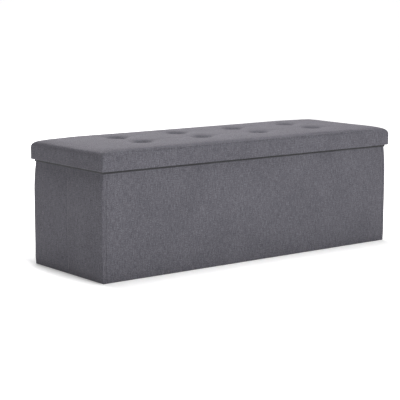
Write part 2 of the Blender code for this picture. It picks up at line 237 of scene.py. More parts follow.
def foam_material():
    """Cream polyurethane foam with open pores, yellower in patches."""
    n = Nodes("cream_foam")
    pores = n.result("Distance", "TexVoronoi", Vector=n.place(), Scale=650.0)
    age = n.noise(n.place(), 14.0, 3.0)
    colour = n.ramp(age, (0.3, (0.66, 0.60, 0.44)), (0.7, (0.80, 0.76, 0.64)))
    return n.finish(colour, n.spread(age, 0.86, 0.98), n.bump(pores, 0.5 * MM, 0.8))


def ribbon_material():
    """Black grosgrain ribbon with fine ribs across it."""
    n = Nodes("black_grosgrain")
    ribs = n.wave(n.split(n.place())[1], 1.1 * MM)
    fuzz = n.noise(n.place(), 1500.0, 3.0)
    colour = n.ramp(fuzz, (0.3, (0.010, 0.010, 0.011)), (0.7, (0.032, 0.032, 0.035)))
    return n.finish(colour, n.spread(fuzz, 0.55, 0.75), n.bump(ribs, 0.15 * MM, 0.8), Sheen_Weight=0.1)


def thread_material(name, dark, light):
    """Twisted sewing thread or tuft cord."""
    n = Nodes(name)
    x, y, z = n.split(n.place())
    twist = n.wave(n.total(x, y, z), 0.9 * MM)
    colour = n.ramp(n.spread(twist, 0.2, 0.8), (0.2, dark), (0.8, light))
    return n.finish(colour, n.spread(twist, 0.6, 0.8), n.bump(twist, 0.1 * MM, 0.6))


def washer_plastic():
    """Off-white moulded washer, faintly clouded and scuffed."""
    n = Nodes("washer_off_white")
    cloud = n.noise(n.place(), 120.0, 3.0)
    scuffs = n.noise(n.place(), 900.0, 4.0)
    colour = n.ramp(cloud, (0.3, (0.62, 0.61, 0.57)), (0.7, (0.74, 0.73, 0.70)))
    return n.finish(colour, n.spread(scuffs, 0.32, 0.55), n.bump(scuffs, 0.05 * MM, 0.4))


def brad_steel():
    """Drawn steel, a little tarnished."""
    n = Nodes("brad_drawn_steel")
    tarnish = n.noise(n.place(), 260.0, 4.0)
    colour = n.ramp(tarnish, (0.35, (0.36, 0.36, 0.37)), (0.65, (0.60, 0.61, 0.62)))
    return n.finish(colour, n.spread(tarnish, 0.25, 0.5), n.bump(tarnish, 0.03 * MM, 0.5), Metallic=1.0)


WEAVE = woven_fabric()
LINING = lining_fabric()
BOARD = fibreboard()
FOAM = foam_material()
RIBBON = ribbon_material()
CORD = thread_material("tuft_cord_twist", (0.38, 0.37, 0.35), (0.62, 0.61, 0.58))
GREY_THREAD = thread_material("grey_seam_thread", (0.150, 0.147, 0.168), (0.330, 0.324, 0.360))
BLACK_THREAD = thread_material("black_seam_thread", (0.012, 0.012, 0.013), (0.060, 0.060, 0.066))
WASHER = washer_plastic()
STEEL = brad_steel()
SLOTS = {
    "grey_fabric": WEAVE,
    "black_lining": LINING,
    "fibreboard": BOARD,
    "seat_foam": FOAM,
    "black_ribbon": RIBBON,
    "tuft_cord": CORD,
    "washer_plastic": WASHER,
    "steel_brad": STEEL,
}


def paint_frame():
    """Every CAD node takes the procedural material of its slot."""
    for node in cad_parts.values():
        for slot in node.material_slots:
            slot.material = SLOTS[slot.material.name.split(".")[0]]


# ---- meshes

def link(thing):
    bpy.context.scene.collection.objects.link(thing)


def add_piece(mesh, body, slot, *stands_for, material=None):
    """Puts a finished mesh in the scene as a piece of its name that moves with a body."""
    piece = bpy.data.objects.new(mesh.name, mesh)
    link(piece)
    mesh.materials.clear()
    mesh.materials.append(material or SLOTS[slot])
    mesh.shade_smooth()
    if body:
        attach(piece, body)
    if stands_for:
        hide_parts(*stands_for)
    return piece


def grid_faces(rows, columns, first=0, closed=False):
    """Quads of a grid numbered row by row; closed joins its last column to its first."""
    faces = []
    for row in range(rows - 1):
        for column in range(columns if closed else columns - 1):
            upper, lower = first + row * columns, first + (row + 1) * columns
            beside = (column + 1) % columns
            faces.append((upper + column, lower + column, lower + beside, upper + beside))
    return faces


def points_at(x, y, z):
    """Rows of x, y and z, where y and z are as many as x or one value for all."""
    return np.column_stack([np.ravel(part + 0 * x) for part in (x, y, z)])


def mesh_of(name, points, faces):
    mesh = bpy.data.meshes.new(name)
    mesh.from_pydata(np.asarray(points, float).reshape(-1, 3).tolist(), [], faces)
    return mesh


def welded(mesh, distance=0.05 * MM):
    """Merges points that coincide, as where a mitre closes a strip."""
    work = bmesh.new()
    work.from_mesh(mesh)
    bmesh.ops.remove_doubles(work, verts=work.verts, dist=distance)
    bmesh.ops.dissolve_degenerate(work, edges=work.edges, dist=distance)
    work.to_mesh(mesh)
    work.free()
    return mesh


def with_modifiers(mesh, *modifiers):
    """The mesh after (type, settings) modifiers."""
    holder = bpy.data.objects.new("modifier_holder", mesh)
    link(holder)
    for kind, settings in modifiers:
        modifier = holder.modifiers.new(kind.lower(), kind)
        for key, value in settings.items():
            setattr(modifier, key, value)
    graph = bpy.context.evaluated_depsgraph_get()
    result = bpy.data.meshes.new_from_object(holder.evaluated_get(graph))
    name = mesh.name
    bpy.data.objects.remove(holder)
    bpy.data.meshes.remove(mesh)
    result.name = name
    return result


def thickness(amount):
    """Modifier that gives a cloth surface its thickness behind the side that faces out."""
    return "SOLIDIFY", dict(thickness=amount, offset=-1.0, use_even_offset=True)


SMOOTHER = "SUBSURF", dict(levels=1, render_levels=1)


def ease(t):
    t = np.clip(t, 0.0, 1.0)
    return t * t * (3 - 2 * t)


def waves(points, size, seed):
    """Smooth noise, from -1 to 1, at each point, with features of about the given size."""
    shift = Vector((7.31, 3.17, 5.73)) * seed
    return np.array([noise.noise(Vector(p) / size + shift) for p in points])


def spaced(start, end, step):
    """Evenly spaced values from start to end, at most a step apart."""
    return np.linspace(start, end, max(2, math.ceil(abs(end - start) / step) + 1))


# ---- rounded panels

GATHERING = 0.45  # how much closer together a grid's lines are at a gathered place
GATHERED_WIDTH = 35 * MM


class Panel:
    """A rounded rectangle filled with a grid, with rings of points that go down from its edge.

    Each line of the grid has a place along the straight part of the outline, from -1 to 1,
    and a share of the corner's radius, which is 0 along the straight part.
    """

    CORNER_STEPS = 4

    def __init__(self, half_x, half_y, radius, step, gathered=((), ())):
        self.core = half_x - radius, half_y - radius
        self.lines = [self.grid_lines(size, step, lines) for size, lines in zip(self.core, gathered)]
        count_x, count_y = (len(straight) for straight, _ in self.lines)
        self.shape = count_x, count_y
        self.loop = (
            [(i, 0) for i in range(count_x - 1)]
            + [(count_x - 1, j) for j in range(count_y - 1)]
            + [(i, count_y - 1) for i in range(count_x - 1, 0, -1)]
            + [(0, j) for j in range(count_y - 1, 0, -1)]
        )

    def grid_lines(self, size, step, gathered):
        """Even lines, drawn closer together about each gathered place."""
        even = spaced(-size, size, step)
        middle = even / size
        for place in gathered:
            away = even - place
            middle = middle - GATHERING * away / size * np.exp(-((away / GATHERED_WIDTH) ** 2))
        share = np.arange(1, self.CORNER_STEPS + 1) / self.CORNER_STEPS
        ones = np.ones(self.CORNER_STEPS)
        straight = np.concatenate([-ones, middle, ones])
        corner = np.concatenate([-share[::-1], np.zeros(len(middle)), share])
        return straight, corner

    def plan(self, half_x, half_y, radius):
        """X and Y of the whole grid for an outline of this size and corner radius."""
        ends = []
        for (straight, _), core, half in zip(self.lines, self.core, (half_x, half_y)):
            stretch = half - radius - core
            ends.append(straight * core + stretch * straight * np.abs(straight) ** 8)
        (_, u), (_, v) = self.lines
        x = ends[0][:, None] + radius * u[:, None] * np.sqrt(1 - v[None, :] ** 2 / 2)
        y = ends[1][None, :] + radius * v[None, :] * np.sqrt(1 - u[:, None] ** 2 / 2)
        return x, y

    def ring(self, half_x, half_y, radius, z):
        x, y = self.plan(half_x, half_y, radius)
        i, j = np.array(self.loop).T
        return points_at(x[i, j], y[i, j], z)

    def top_faces(self, first=0, flipped=False):
        count_x, count_y = self.shape
        faces = []
        for i in range(count_x - 1):
            for j in range(count_y - 1):
                low = first + i * count_y + j
                face = (low, low + count_y, low + count_y + 1, low + 1)
                faces.append(face[::-1] if flipped else face)
        return faces

    def edge_numbers(self, first=0):
        return [first + i * self.shape[1] + j for i, j in self.loop]

    def mesh(self, name, points, closed=False):
        """Mesh of a grid, the rings below its edge and, if closed, a second grid as its base."""
        grid, count = self.shape[0] * self.shape[1], len(self.loop)
        end = len(points) - grid * closed
        numbers = [self.edge_numbers()] + [range(first, first + count) for first in range(grid, end, count)]
        if not closed:
            return mesh_of(name, points, self.top_faces() + self.ring_faces(numbers))
        faces = self.top_faces() + self.ring_faces([*numbers, self.edge_numbers(end)])
        return mesh_of(name, points, faces + self.top_faces(end, flipped=True))

    def ring_faces(self, numbers):
        """Quads between rings of point numbers, from the upper ring to the lower."""
        faces = []
        for upper, lower in zip(numbers, numbers[1:]):
            for n in range(len(upper)):
                beside = (n + 1) % len(upper)
                faces.append((upper[n], lower[n], lower[beside], upper[beside]))
        return faces


# ---- lid: cover, foam and buttons

LID_STEP = 9.2 * MM
SKIRT_STEP = 9 * MM
SKIRT_TOP_SPACE = 6 * MM  # below the tuck, to the next ring
EDGE_WIDTH = 24 * MM  # from the skirt's face to where the rounded edge meets the top
EDGE_HIGH_Z = LID_HIGH.z + 5.8 * MM
ROLL_INSET, ROLL_Z = 0.9 * MM, LID_HIGH.z + 2.6 * MM  # the outermost line of the rounded edge
ROLL_RINGS = 5  # of points, from the top out to that line
TUCK_FADE_START = 30 * MM  # from the lid's ends to where the tuck begins
TUCK_FADE = 0.12  # along the lid, from there to its full depth
EDGE_FULLNESS = 0.9  # 1 for a plain elliptical edge, less for a fuller one
TUCK = (  # (inset, height over LID_HIGH) in mm: in under the rounded edge, and out to the skirt
    (1.2, 1.6), (2.6, 0.0), (3.6, -1.2), (2.8, -2.6),
    (1.5, -4.5), (0.6, -7.3), (0.1, -10.8), (0.0, -15.0),
)
SKIRT_TOP_Z = LID_HIGH.z + TUCK[-1][1] * MM
CORNER_LOW = 3 * MM  # radius of the lid's upright corners
CORNER_HIGH = 36 * MM  # radius of its corners where they reach the top
CROWN = 3.0 * MM
HEM_INSET = 8 * MM
HEM_HEIGHT = 19 * MM
HEM_CORNER = 1 * MM
FOLD = 1.8 * MM
FOLD_BEND = 0.55 * MM  # inset and height of the point half way round the fold
DIMPLE_SLOPE = 0.85  # how steeply the cover falls beside a tuft
DIMPLE_REACH = 22 * MM, 42 * MM  # where that slope begins to ease, and where it ends
UNEVENNESS = 0.7 * MM  # of the padding
PLEAT_DEPTH = 0.55 * MM
PLEAT_REACH = 46 * MM
TUFT_PRESS = 8 * MM  # radius held down under a button
TUFT_GAP = 230 * MM  # more than there is between neighbouring tufts
TUFT_LINE = 10 * MM  # tufts within this of one line are in line
CREASE_DEPTH = 1.6 * MM
CREASE_WIDTH = 7 * MM
SHADOW_STRIP_INSET = 8.7 * MM
SHADOW_STRIP_DROP = 6.2 * MM  # how far the black strip of painted shade hangs below the skirt
FOAM_CLEARANCE = 0.9 * MM  # inside the cover
FOAM_THINNEST = 1.2 * MM  # pressed under a tuft
FOAM_EDGE = 0.8 * MM  # height of its lowest bevel
SWELL_FRAMES = 18
SWELL_CAP = 2.5 * MM
SWELL_SETTINGS = dict(
    quality=5,
    mass=0.3,
    tension_stiffness=15,
    compression_stiffness=15,
    shear_stiffness=5,
    bending_stiffness=0.5,
    use_pressure=True,
    uniform_pressure_force=4,
)


def dimple(radius):
    """How far a tuft pulls the cover down at each distance from its middle."""
    steps = np.linspace(TUFT_PRESS * 0.6, DIMPLE_REACH[1], 400)
    slope = DIMPLE_SLOPE * (1 - ease((steps - DIMPLE_REACH[0]) / (DIMPLE_REACH[1] - DIMPLE_REACH[0])))
    depth = np.cumsum(slope[::-1])[::-1] * (steps[1] - steps[0])
    return np.interp(radius, steps, depth)


def pleats(x, y, tuft, seed):
    """Uneven small folds that run out from a tuft all round it."""
    radius, angle = np.hypot(x - tuft.x, y - tuft.y), np.arctan2(y - tuft.y, x - tuft.x)
    wave = 0.5 * np.sin(5 * angle + seed) + 0.5 * np.sin(8 * angle + 2.3 * seed)
    share = np.clip((radius - TUFT_PRESS) / (PLEAT_REACH - TUFT_PRESS), 0, 1)
    rise = share * (1 - share) ** 2  # at most 4 / 27
    return PLEAT_DEPTH * wave * 6.75 * rise


def crease(x, y, start, end):
    """Depth of the shallow fold that runs between two neighbouring tufts."""
    along = Vector(end[:2]) - Vector(start[:2])
    share = ((x - start[0]) * along.x + (y - start[1]) * along.y) / along.length_squared
    held = np.clip(share, 0, 1)
    away = np.hypot(x - start[0] - held * along.x, y - start[1] - held * along.y)
    fullness = 0.35 + 0.65 * (2 * held - 1) ** 2
    width = CREASE_WIDTH * (1.6 - 0.6 * (2 * held - 1) ** 2)
    return CREASE_DEPTH * fullness * np.exp(-((away / width) ** 2))


def neighbours():
    """Pairs of tufts next to each other along the lid or across it."""
    pairs = []
    for first, second in combinations(TUFTS, 2):
        gap = second - first
        if gap.length < TUFT_GAP and min(abs(gap.x), abs(gap.y)) < TUFT_LINE:
            pairs.append((first, second))
    return pairs


def top_height(x, y):
    """The lid's tufted top before it swells."""
    share_x, share_y = np.abs(x) / (LID_HIGH.x - EDGE_WIDTH), np.abs(y) / (LID_HIGH.y - EDGE_WIDTH)
    z = EDGE_HIGH_Z + CROWN * (1 - np.clip(share_x, 0, 1) ** 12) * (1 - np.clip(share_y, 0, 1) ** 4)
    for seed, tuft in enumerate(TUFTS):
        z = z - dimple(np.hypot(x - tuft.x, y - tuft.y)) - pleats(x, y, tuft, seed)
    unevenness = waves(points_at(x, y, 0), size=60 * MM, seed=9).reshape(x.shape)
    z = z + UNEVENNESS * unevenness * (1 - share_x ** 12) * (1 - share_y ** 8)
    folds = [crease(x, y, first, second) for first, second in neighbours()]
    return z - np.max(folds, axis=0)


def rounded(inset_span, height_span, steps):
    """(inset, height) down a rounded quarter turn, from the flat top to upright."""
    points = []
    for angle in np.linspace(0, math.pi / 2, steps + 1):
        down, out = (max(share, 0.0) ** EDGE_FULLNESS for share in (math.cos(angle), math.sin(angle)))
        inset = inset_span[0] + (inset_span[1] - inset_span[0]) * out
        points.append((inset, height_span[1] + (height_span[0] - height_span[1]) * down))
    return points


def edge_rings(panel):
    """Rings of the lid's rounded edge, from the top down: plain round the ends, tucked in
    below the roll along both long sides."""
    tucked = rounded((EDGE_WIDTH, ROLL_INSET), (EDGE_HIGH_Z, ROLL_Z), ROLL_RINGS)
    tucked += [(inset * MM, LID_HIGH.z + over * MM) for inset, over in TUCK]
    plain = rounded((EDGE_WIDTH, 0.0), (EDGE_HIGH_Z, SKIRT_TOP_Z), len(tucked) - 1)
    rings = []
    for at_end, at_side in zip(plain[1:], tucked[1:]):
        radius = CORNER_LOW + (CORNER_HIGH - CORNER_LOW) * (at_end[0] / EDGE_WIDTH) ** 0.8
        ends, sides = (panel.ring(LID_HIGH.x - i, LID_HIGH.y - i, radius, z) for i, z in (at_end, at_side))
        share = ease((LID_HIGH.x - TUCK_FADE_START - np.abs(ends[:, :1])) / TUCK_FADE)
        rings.append(ends + (sides - ends) * share)
    return rings


def skirt_profile():
    """Rings of the skirt, round under the rails and up to the hem behind them."""
    low = LID_LOW.z
    rings = [(0.0, z, CORNER_LOW) for z in spaced(SKIRT_TOP_Z - SKIRT_TOP_SPACE, low + FOLD, SKIRT_STEP)]
    rings += [(FOLD_BEND, low + FOLD_BEND, CORNER_LOW), (FOLD, low, 2 * MM)]
    rings += [(HEM_INSET / 2, low, 1.5 * MM), (HEM_INSET - FOLD, low, HEM_CORNER)]
    rings += [(HEM_INSET - FOLD_BEND, low + FOLD_BEND, HEM_CORNER)]
    rings += [(HEM_INSET, z, HEM_CORNER) for z in spaced(low + FOLD, low + HEM_HEIGHT, SKIRT_STEP)]
    return rings


def cushion_points(panel):
    """Points of the whole cover, and how many of them are free to swell."""
    half_x, half_y = LID_HIGH.x, LID_HIGH.y
    edge = edge_rings(panel)
    x, y = panel.plan(half_x - EDGE_WIDTH, half_y - EDGE_WIDTH, CORNER_HIGH)
    top = points_at(x, y, top_height(x, y))
    skirt = [panel.ring(half_x - inset, half_y - inset, radius, z) for inset, z, radius in skirt_profile()]
    free = len(top) + len(panel.loop) * ROLL_RINGS
    return np.vstack([top, *edge, *skirt]), free


def swell(mesh, free):
    """Lets the cover swell over its foam, held at the skirt and at the tufts."""
    start = np.array([v.co for v in mesh.vertices])
    held = [
        n for n, point in enumerate(start)
        if n >= free or min(math.dist(point[:2], tuft[:2]) for tuft in TUFTS) < TUFT_PRESS
    ]
    cloth_object = bpy.data.objects.new("swelling_cover", mesh)
    link(cloth_object)
    cloth_object.vertex_groups.new(name="held").add(held, 1.0, "REPLACE")
    cloth = cloth_object.modifiers.new("cloth", "CLOTH")
    for key, value in SWELL_SETTINGS.items():
        setattr(cloth.settings, key, value)
    cloth.settings.effector_weights.gravity = 0
    cloth.settings.vertex_group_mass = "held"
    scene = bpy.context.scene
    cloth.point_cache.frame_start, cloth.point_cache.frame_end = 1, SWELL_FRAMES
    for number in range(1, SWELL_FRAMES + 1):
        scene.frame_set(number)
    graph = bpy.context.evaluated_depsgraph_get()
    swollen = np.array([v.co for v in cloth_object.evaluated_get(graph).data.vertices])
    scene.frame_set(1)
    move = swollen - start
    length = np.linalg.norm(move, axis=1)
    capped = SWELL_CAP * np.tanh(length / SWELL_CAP)
    bpy.data.objects.remove(cloth_object)
    bpy.data.meshes.remove(mesh)
    return start + move * (capped / np.maximum(length, 1e-9))[:, None]


def make_cushion():
    """The tufted cover, and the foam under it."""
    tuft_lines = [sorted({round(tuft[axis], 4) for tuft in TUFTS}) for axis in (0, 1)]
    half_x, half_y = LID_HIGH.x - EDGE_WIDTH, LID_HIGH.y - EDGE_WIDTH
    panel = Panel(half_x, half_y, CORNER_HIGH, LID_STEP, tuft_lines)
    points, free = cushion_points(panel)
    points = swell(panel.mesh("swelling_cover", points), free)
    mesh = with_modifiers(panel.mesh("seat_cover_cloth", points), thickness(CLOTH), SMOOTHER)
    cover = add_piece(mesh, "lid", "grey_fabric", "seat_cover")
    mesh = with_modifiers(foam_mesh(points[:free], panel), SMOOTHER)
    foam = add_piece(mesh, "lid", "seat_foam", "seat_foam")


def foam_mesh(points, panel):
    """The foam fills the cover from its top down to the lid board."""
    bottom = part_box("seat_foam")[0].z
    space = CLOTH + FOAM_CLEARANCE
    shrink = 1 - space / np.array([LID_HIGH.x, LID_HIGH.y])
    upper = points.copy()
    upper[:, :2] *= shrink
    upper[:, 2] = np.maximum(upper[:, 2] - space, bottom + FOAM_THINNEST)
    base = upper[:panel.shape[0] * panel.shape[1]].copy()
    base[:, 2] = bottom
    low_ring = upper[-len(panel.loop):].copy()
    low_ring[:, :2] *= shrink
    low_ring[:, 2] = bottom + FOAM_EDGE
    return panel.mesh("seat_foam_pad", np.vstack([upper, low_ring, base]), closed=True)


def make_painted_shadow_strip():
    """Black strip behind the hem, hanging below the skirt as a fine dark line: painted shade that stands in
    for the shadow under the skirt.
    """
    panel = Panel(LID_HIGH.x - EDGE_WIDTH, LID_HIGH.y - EDGE_WIDTH, CORNER_HIGH, LINING_STEP)
    low, high = LID_LOW.z - SHADOW_STRIP_DROP, LID_LOW.z + HEM_HEIGHT
    half_x, half_y = LID_HIGH.x - SHADOW_STRIP_INSET, LID_HIGH.y - SHADOW_STRIP_INSET
    rings = [panel.ring(half_x, half_y, 0.8 * MM, z) for z in spaced(high, low, 5 * MM)]
    count = len(panel.loop)
    faces = grid_faces(len(rings), count, closed=True)
    mesh = mesh_of("lid_skirt_painted_shadow_strip", rings, faces)
    # Painted shade: black cloth hung where there is only the shadow under the skirt's edge.
    add_piece(with_modifiers(mesh, thickness(0.5 * MM)), "lid", "black_lining")


BUTTON_RADIUS = 9 * MM
BUTTON_SPOKES = 32
BUTTON_TOP = 3.6 * MM
BUTTON_OUTLINE = (  # (share of the radius, height in mm) down from the top
    (0.30, 3.50), (0.60, 3.20), (0.82, 2.50), (0.95, 1.60),
    (1.00, 1.00), (0.97, 0.45), (0.80, 0.10), (0.40, 0.05),
)


def button_mesh(number, centre):
    """A cloth-covered button: a dome gathered in fine pleats round its rim."""
    angles = np.linspace(0, 2 * math.pi, BUTTON_SPOKES, endpoint=False)
    pleats = 0.5 * np.sin(angles * 9 + number) + 0.5 * np.sin(angles * 14 + 2 * number)
    points = [(centre.x, centre.y, BUTTON_SEAT + BUTTON_TOP)]
    for share, height in BUTTON_OUTLINE:
        reach = BUTTON_RADIUS * share * (1 + 0.012 * pleats * share ** 4)
        x, y = centre.x + reach * np.cos(angles), centre.y + reach * np.sin(angles)
        points += list(points_at(x, y, BUTTON_SEAT + height * MM))
    points.append((centre.x, centre.y, BUTTON_SEAT))
    faces = grid_faces(len(BUTTON_OUTLINE), BUTTON_SPOKES, first=1, closed=True)
    last = len(points) - 1
    for spoke in range(BUTTON_SPOKES):
        beside = (spoke + 1) % BUTTON_SPOKES
        faces.append((0, 1 + spoke, 1 + beside))
        faces.append((last, last - BUTTON_SPOKES + beside, last - BUTTON_SPOKES + spoke))
    return mesh_of(f"covered_button_{number}", points, faces)


def make_buttons():
    for number, centre in enumerate(TUFTS, 1):
        add_piece(button_mesh(number, centre), "lid", "grey_fabric", f"tuft_button_{number}")


# ---- box walls

WALL_STEP = 8 * MM
LID_EDGE_Z = LID_LOW.z - 2 * MM  # the skirt hides the walls above this
FOLD_RADIUS = 2.4 * MM
WALL_DEPTH = LONG_WALL_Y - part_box("back_cover")[0].y
FACING_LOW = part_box("front_lining")[1].z + 0.5 * MM  # hem of the cloth turned in over the rim
SEAM_X = (LONG_COVER_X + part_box("right_end_cover")[0].x) / 2
SEAM_TUCK, SEAM_TUCK_WIDTH = 1.0 * MM, 2.2 * MM  # how far the cloth dips into a seam
PUFF_RISE = 3 * MM  # from a seam to the fullest cloth beside it
LONG_PUFF = 0.55 * MM, 3 * MM, 14 * MM  # height, where it begins to fade, and over how far
END_PUFF = 0.50 * MM, 5 * MM, 6 * MM
LONG_SWELL, LONG_PUCKER = 1.1 * MM, 0.35 * MM
END_SWELL, END_PUCKER = 2.0 * MM, 0.30 * MM
MIDDLE_FOLD, MIDDLE_FOLD_WIDTH = 0.35 * MM, 3 * MM  # down the middle of each end
SWELL_FROM_FLOOR = 18 * MM  # from the floor up to the full swelling
SWELL_FROM_SEAM = 25 * MM
SWELL_FROM_LID = 34 * MM
RIM_FADE = 8 * MM  # from the walls' top edge down to the full depth of seams and folds
RIGHT_SEED, LEFT_SEED = 3, 5
END_FLARE = 8.5 * MM  # how far the end walls' cloth stands out near the floor
FLARE_START_X = 0.40
FLARE_HIGH = LID_LOW.z + 2 * MM  # where the flare starts
FLARE_DROP = 100 * MM  # from there to where it is full
FLARE_HEM = 25 * MM  # height below which it draws in a little


def arc(centre, radius, start, end, steps=4):
    angles = np.radians(np.linspace(start, end, steps + 1))
    return [(centre[0] - radius * math.cos(a), centre[1] + radius * math.sin(a)) for a in angles]


def wall_profile():
    """(inset, height) from the hem inside, over the top, down the outside and under the wall."""
    r, deep, top = FOLD_RADIUS, WALL_DEPTH, WALL_TOP
    profile = [(deep, z) for z in spaced(FACING_LOW, top - r, 7 * MM)]
    profile += arc((deep - r, top - r), r, 180, 90)[1:]
    profile += arc((r, top - r), r, 90, 0)
    profile += [(0.0, z) for z in spaced(top - r, r, WALL_STEP)[1:]]
    profile += arc((r, r), r, 0, -90)[1:]
    profile += [(inset, 0.0) for inset in spaced(r, deep, 5 * MM)[1:]]
    return profile


def long_outline(inset):
    """Plan of a long wall's cover, from its left seam to its right, seen from the front."""
    x = seam_lines(LONG_COVER_X)
    return np.column_stack([x, np.full(len(x), -(LONG_WALL_Y - inset))])


def seam_lines(half):
    """Even columns, closer together next to the seams at both ends."""
    near = np.array([0.0, 0.5, 1.0, 1.7, 2.6, 4.0, 6.0, 9.0]) * MM
    middle = spaced(-half + near[-1], half - near[-1], WALL_STEP)
    return np.concatenate([near[:-1] - half, middle, half - near[:-1][::-1]])


def end_lines():
    """Shares of half the wall's depth: close together about the fold in its middle."""
    near = np.array([0.0, 0.8, 1.6, 2.6, 4.0, 6.0, 9.0]) * MM / LONG_WALL_Y
    outer = spaced(near[-1], 1.0, WALL_STEP / LONG_WALL_Y)[1:]
    half = np.concatenate([near, outer])
    return np.concatenate([-half[:0:-1], half])


def end_outline(inset):
    """Plan of the right end's cover, round both corners, from the front seam to the back one."""
    reach, side = END_WALL_X - inset, LONG_WALL_Y - inset
    radius = max(FOLD_RADIUS - inset, 0.0)
    shares = np.array([0.0, 0.05, 0.12, 0.22, 0.36, 0.55, 0.78, 1.0])
    x = SEAM_X + (reach - radius - SEAM_X) * shares
    front = np.column_stack([x, np.full(len(x), -side)])
    angles = np.radians([-67.5, -45, -22.5])
    turn = np.column_stack([np.cos(angles), np.sin(angles)])
    corner = np.array([reach - radius, radius - side]) + radius * turn
    y = end_lines() * (side - radius)
    face = np.column_stack([np.full(len(y), reach), y])
    half = np.vstack([front, corner])
    back = half[::-1] * (1, -1)
    return np.vstack([half, face, back])


def outward(outline):
    """Unit directions out of an outline that runs anticlockwise seen from above."""
    along = np.gradient(outline, axis=0)
    out = np.column_stack([along[:, 1], -along[:, 0]])
    return out / np.linalg.norm(out, axis=1)[:, None]


def under_lid(z):
    """1 on the open wall, 0 where the lid's skirt covers it."""
    return ease((LID_EDGE_Z - z) / SWELL_FROM_LID)


def below_rim(z):
    """1 down the wall, 0 at its top edge."""
    return ease((WALL_TOP - z) / RIM_FADE)


def seam_puff(from_seam, height, fade_start, fade):
    """How far the cloth stands out beside a seam, where it is fullest."""
    return height * ease(from_seam / PUFF_RISE) * (1 - ease((from_seam - fade_start) / fade))


def seam_tuck(from_seam, z):
    """The cloth's dip into a seam, as a height below zero."""
    return -SEAM_TUCK * (1 - ease(from_seam / SEAM_TUCK_WIDTH)) * below_rim(z)


def long_relief(outline, z, seed):
    """How far the cloth stands out of a long wall: slow waves, and a seam at each end."""
    x = outline[:, 0]
    from_seam = LONG_COVER_X - np.abs(x)
    slow = 0.5 + 0.5 * waves(points_at(x, z, 0), 160 * MM, seed)
    pucker = 0.5 + 0.5 * waves(points_at(x, z * 0.35, 0), 35 * MM, seed + 4)
    swelling = (LONG_SWELL * slow + LONG_PUCKER * pucker) * ease(from_seam / SWELL_FROM_SEAM)
    full = ease(z / SWELL_FROM_FLOOR) * under_lid(z)
    return (swelling + seam_puff(from_seam, *LONG_PUFF)) * full + seam_tuck(from_seam, z)


def end_relief(outline, z, seed):
    """How far the cloth stands out of an end wall: fuller boards each side of the middle fold."""
    x, y = outline.T
    share = np.clip(np.abs(y) / LONG_WALL_Y, 0, 1)
    full = np.sin(math.pi * share) ** 0.7
    slow = 0.6 + 0.4 * waves(points_at(0 * y, y, z), 110 * MM, seed)
    pucker = waves(points_at(0 * y, y, z * 0.3), 30 * MM, seed + 4)
    swelling = (END_SWELL * slow + END_PUCKER * pucker) * full * under_lid(z) * ease(z / SWELL_FROM_FLOOR)
    fold = -MIDDLE_FOLD * np.exp(-((y / MIDDLE_FOLD_WIDTH) ** 2)) * below_rim(z)
    from_seam = x - SEAM_X
    beside_seam = seam_tuck(from_seam, z) + seam_puff(from_seam, *END_PUFF) * under_lid(z)
    return np.where(x > END_WALL_X - FOLD_RADIUS / 2, swelling + fold, beside_seam)


def flare(x, z):
    """How far cloth near the ends stands out lengthwise: more towards the floor."""
    share = ease((np.abs(x) - FLARE_START_X) / (SEAM_X - FLARE_START_X))
    drop = min(max((FLARE_HIGH - z) / FLARE_DROP, 0.0), 1.0)
    return END_FLARE * np.sign(x) * share * drop * (2 - drop) * (0.8 + 0.2 * ease(z / FLARE_HEM))


def wall_mesh(name, outline_at, relief, seed):
    """Cloth that follows a plan outline round, and the wall's profile up and down."""
    base = outline_at(0.0)
    out = outward(base)
    rows = []
    for inset, z in wall_profile():
        row = outline_at(inset)
        if inset < FOLD_RADIUS:
            row = row + out * relief(base, z, seed)[:, None]
        if inset < FOLD_RADIUS or z < FOLD_RADIUS:
            row[:, 0] += flare(base[:, 0], z) * (1 - inset / WALL_DEPTH)
        rows.append(points_at(*row.T, z))
    mesh = mesh_of(name, rows, grid_faces(len(rows), len(base)))
    return with_modifiers(welded(mesh), thickness(CLOTH))


def turned(mesh):
    """Half a turn about the upright axis, for the wall opposite."""
    mesh.transform(Matrix.Rotation(math.pi, 4, "Z"))
    return mesh


def make_walls():
    front = wall_mesh("front_cover_cloth", long_outline, long_relief, 1)
    back = turned(wall_mesh("back_cover_cloth", long_outline, long_relief, 2))
    right = wall_mesh("right_end_cover_cloth", end_outline, end_relief, RIGHT_SEED)
    left = turned(wall_mesh("left_end_cover_cloth", end_outline, end_relief, LEFT_SEED))
    for mesh in (front, back, right, left):
        add_piece(mesh, "body", "grey_fabric", mesh.name.removesuffix("_cloth"))


# ---- stitches

STITCH_RINGS = ((0.0, 0.35), (0.12, 0.85), (0.35, 1.0), (0.65, 1.0), (0.88, 0.85), (1.0, 0.35))
STITCH_SIDES = 6
THREAD = 0.30 * MM
STITCH_END = 4 * MM  # from a corner to the first stitch
FOLD_STITCH_Y = 4 * MM  # from an end wall's middle fold to the stitches beside it


